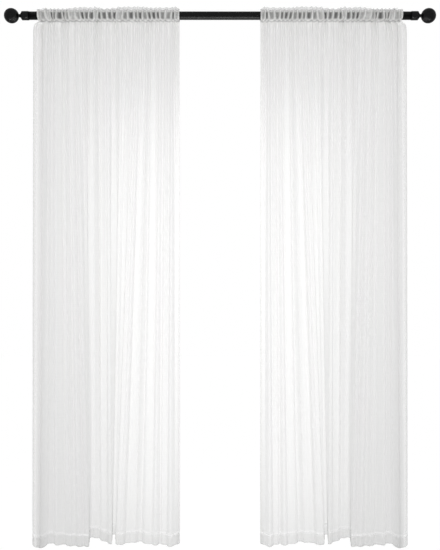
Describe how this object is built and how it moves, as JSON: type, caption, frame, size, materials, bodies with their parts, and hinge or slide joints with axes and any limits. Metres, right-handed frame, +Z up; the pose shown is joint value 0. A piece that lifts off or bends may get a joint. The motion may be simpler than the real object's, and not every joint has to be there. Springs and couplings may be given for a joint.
{
  "type": "pair of sheer rod-pocket curtains on a rod with ball finials",
  "caption": "Pair of sheer voile curtains gathered by rod pockets, with a short ruffle above, on a round black rod that ends in caps and ball finials.",
  "frame": {"origin": "the middle of the rod, on its axis", "axes": "+Z up, +X along the rod to the right seen from the room, +Y from the room towards the window"},
  "size_m": [1.697, 0.1144, 2.1131],
  "materials": {
    "black_rod": "satin black",
    "white_voile": "sheer plain weave"
  },
  "bodies": {
    "root": {"rod": "black_rod", "end_cap_left": "black_rod", "end_cap_right": "black_rod", "finial_left": "black_rod", "finial_right": "black_rod", "panel_left": "white_voile", "panel_right": "white_voile"}
  },
  "joints": []
}
